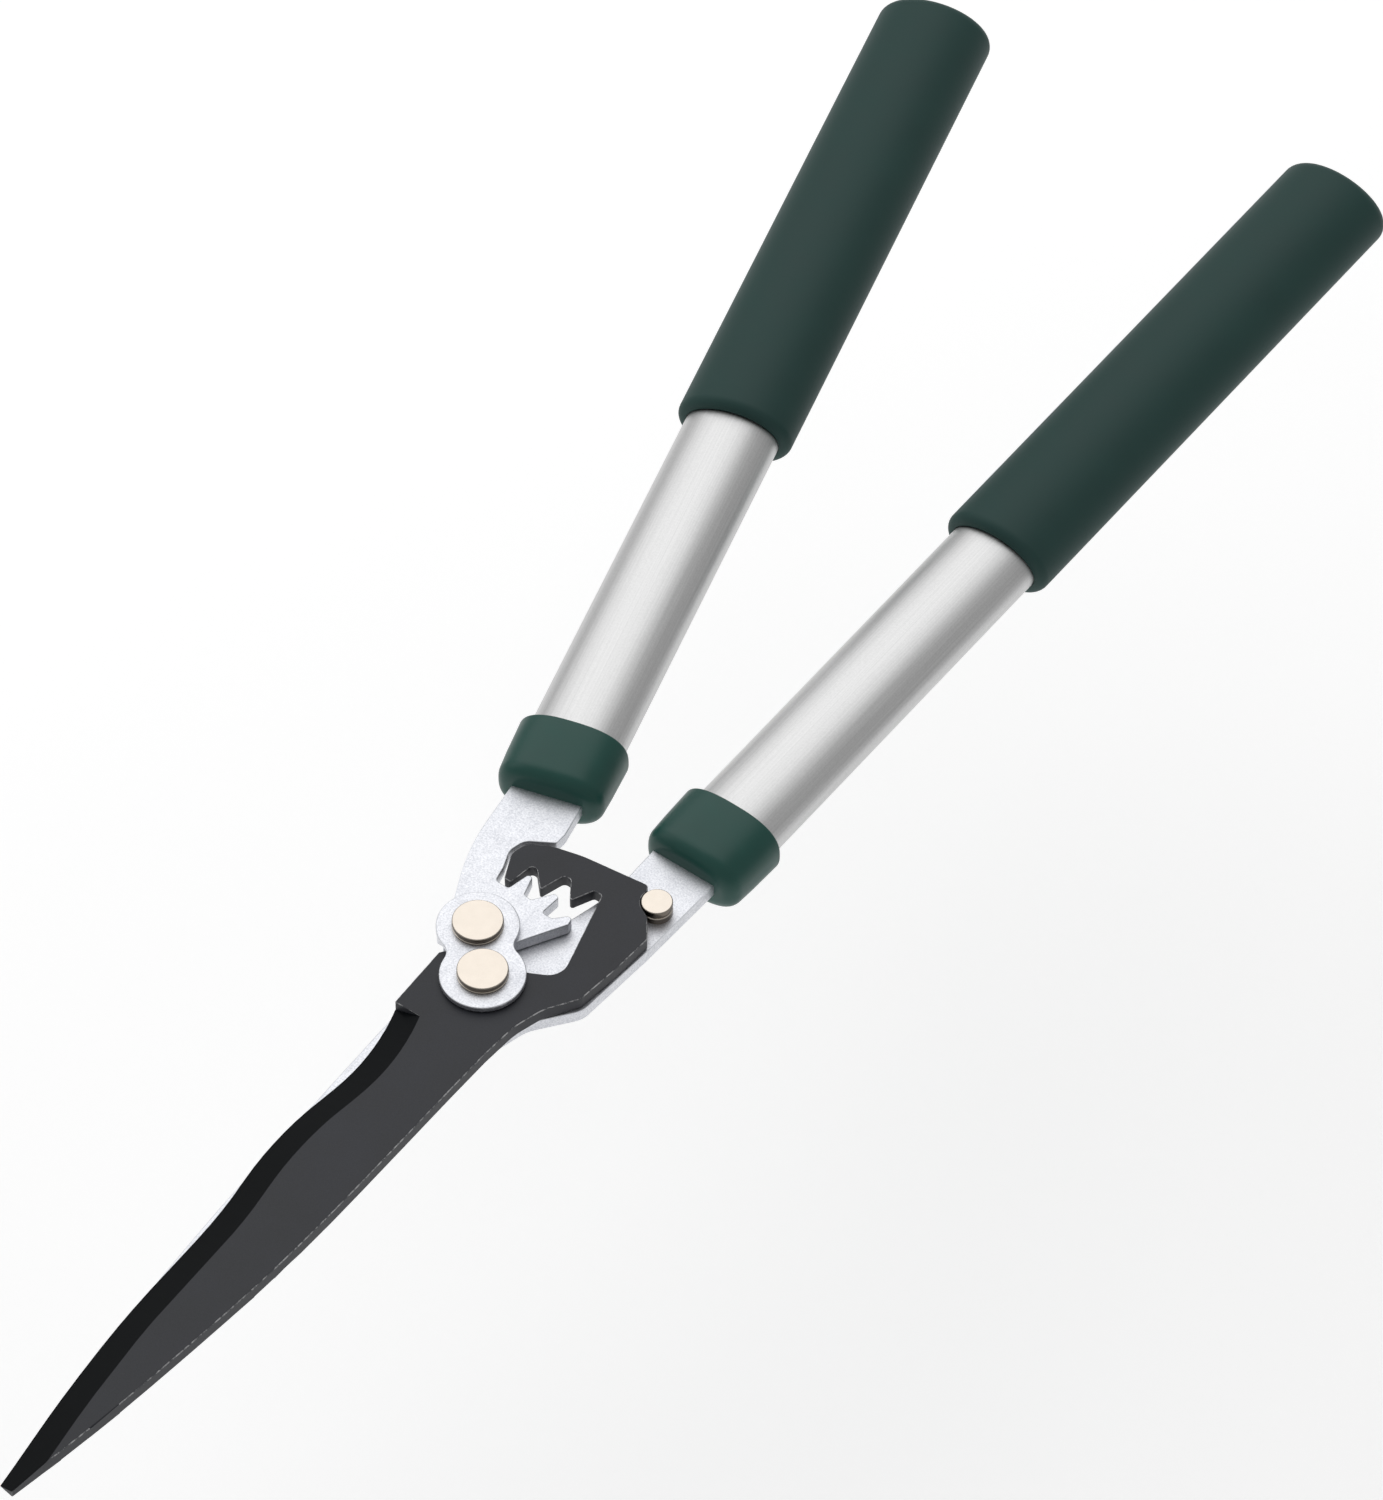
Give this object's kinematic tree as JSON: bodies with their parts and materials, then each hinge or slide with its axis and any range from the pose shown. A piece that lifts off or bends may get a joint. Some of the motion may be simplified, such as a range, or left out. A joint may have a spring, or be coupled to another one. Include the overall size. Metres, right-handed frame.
{
  "type": "hedge shears",
  "caption": "Two-handed hedge shears: wavy steel blades, a toothed lever that closes the front blade, oval tube handles with soft grips.",
  "frame": {"origin": "blade pivot axis on the rear blade's sliding face", "axes": "+Y towards the handles, blades along -Y, +Z towards the rivet heads, away from the rear blade"},
  "size_m": [0.1544, 0.5553, 0.0273],
  "materials": {
    "coated_steel": "satin non-stick coat, ground edge",
    "plated_steel": "satin plated",
    "rivet_steel": "polished",
    "washer_plastic": "matt",
    "tube_aluminium": "satin anodised",
    "collar_plastic": "semi-gloss moulded",
    "plug_plastic": "matt",
    "grip_rubber": "matt soft-touch"
  },
  "bodies": {
    "fixed_side": {"rear_blade": "plated_steel", "link_plate": "plated_steel", "lever_pivot_rivet": "rivet_steel", "blade_pivot_rivet": "rivet_steel", "stop_rivet": "rivet_steel", "rear_wear_washers": "washer_plastic", "front_wear_washers": "washer_plastic", "right_tube": "tube_aluminium", "right_collar": "collar_plastic", "right_grip": "grip_rubber", "right_tang_plug": "plug_plastic", "right_cross_pins": "rivet_steel", "right_end_plug": "plug_plastic"},
    "lever_side": {"gear_lever": "plated_steel", "left_tube": "tube_aluminium", "left_collar": "collar_plastic", "left_grip": "grip_rubber", "left_tang_plug": "plug_plastic", "left_cross_pins": "rivet_steel", "left_end_plug": "plug_plastic"},
    "front_blade": {"front_blade": "coated_steel"}
  },
  "joints": [
    {"name": "lever_pivot", "type": "hinge", "parent": "fixed_side", "child": "lever_side", "pos_m": [-0.01054, 0.01204, 0], "axis": [0, 0, 1], "range_deg": [0, 49]},
    {"name": "blade_pivot", "type": "hinge", "parent": "fixed_side", "child": "front_blade", "pos_m": [0, 0, 0], "axis": [0, 0, 1], "range_deg": [0, 28]}
  ],
  "couplings": [
    {"joint": "blade_pivot", "follows": "lever_pivot", "ratio": 0.57143}
  ]
}
